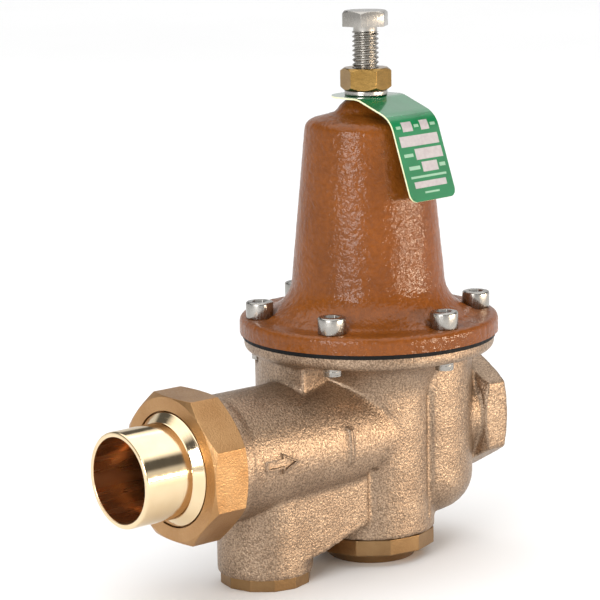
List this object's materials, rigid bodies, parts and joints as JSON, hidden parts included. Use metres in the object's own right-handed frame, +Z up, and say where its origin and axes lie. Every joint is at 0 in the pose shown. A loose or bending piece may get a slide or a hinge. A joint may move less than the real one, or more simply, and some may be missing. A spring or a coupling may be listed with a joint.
{
  "type": "pressure reducing valve",
  "caption": "Water pressure reducing valve: cast bronze body with a solder union inlet, side strainer, threaded outlet, bolted spring bell and a lock-nutted adjusting screw.",
  "frame": {"origin": "on the adjusting screw's axis, in the plane that the bottom plug and the strainer plug stand on", "axes": "+X is the direction of flow, from the union inlet to the threaded outlet; +Z is up along the adjusting screw"},
  "size_m": [0.1562, 0.0902, 0.1913],
  "materials": {
    "cast_bronze": "rough cast, shot blasted",
    "bell_paint": "glossy coat over a coarse casting",
    "machined_brass": "machined",
    "polished_tail": "polished",
    "nut_brass": "machined, polished",
    "stainless": "satin",
    "spring_steel": "satin",
    "black_rubber": "matte",
    "white_plastic": "satin",
    "green_tag": "glossy",
    "fibre": "matte"
  },
  "bodies": {
    "valve": {"body": "cast_bronze", "bell_housing": "bell_paint", "cap_screws": "stainless", "diaphragm": "black_rubber", "slip_ring": "white_plastic", "seat_ring": "machined_brass", "seat_gasket": "black_rubber", "bottom_plug": "machined_brass", "bottom_plug_o_ring": "black_rubber", "strainer_screen": "stainless", "strainer_plug": "machined_brass", "strainer_plug_o_ring": "black_rubber", "union_gasket": "fibre"},
    "stem": {"diaphragm_plate": "spring_steel", "diaphragm_washer": "machined_brass", "stem_nut": "stainless", "valve_stem": "machined_brass", "disc_retainer": "machined_brass", "valve_disc": "black_rubber", "disc_holder": "machined_brass"},
    "button": {"spring_button": "spring_steel", "adjusting_spring": "spring_steel"},
    "screw": {"adjusting_screw": "stainless"},
    "washer": {"seal_washer": "stainless"},
    "lock_nut": {"lock_nut": "nut_brass"},
    "tag": {"hang_tag": "green_tag"},
    "tailpiece": {"union_tailpiece": "polished_tail"},
    "union_nut": {"union_nut": "machined_brass"}
  },
  "joints": [
    {"name": "stem_travel", "type": "slide", "parent": "valve", "child": "stem", "axis": [0, 0, 1], "range_m": [0, 0.0051], "stiffness_N_per_m": 2000, "springref_m": -0.008, "deforming": ["diaphragm"]},
    {"name": "button_travel", "type": "slide", "parent": "valve", "child": "button", "axis": [0, 0, 1], "range_m": [-0.0095, 0.0047], "deforming": ["adjusting_spring"]},
    {"name": "screw_spin", "type": "hinge", "parent": "button", "child": "screw", "pos_m": [0, 0, 0.16], "axis": [0, 0, 1], "range_deg": [-2160, 1080]},
    {"name": "washer_lift", "type": "slide", "parent": "valve", "child": "washer", "axis": [0, 0, 1], "range_m": [0, 0.00238]},
    {"name": "lock_nut_spin", "type": "hinge", "parent": "washer", "child": "lock_nut", "pos_m": [0, 0, 0.168], "axis": [0, 0, 1], "range_deg": [0, 540]},
    {"name": "tag_swivel", "type": "hinge", "parent": "valve", "child": "tag", "pos_m": [0, 0, 0.162], "axis": [0, 0, 1], "continuous": true},
    {"name": "tail_draw", "type": "slide", "parent": "valve", "child": "tailpiece", "axis": [-1, 0, 0], "range_m": [0, 0.0063]},
    {"name": "union_spin", "type": "hinge", "parent": "tailpiece", "child": "union_nut", "pos_m": [-0.08, 0, 0.046], "axis": [-1, 0, 0], "range_deg": [0, 1080]}
  ],
  "couplings": [
    {"joint": "screw_spin", "follows": "button_travel", "rad_per_m": 3957.9},
    {"joint": "lock_nut_spin", "follows": "washer_lift", "rad_per_m": 3957.9},
    {"joint": "union_spin", "follows": "tail_draw", "rad_per_m": 2968.4}
  ]
}
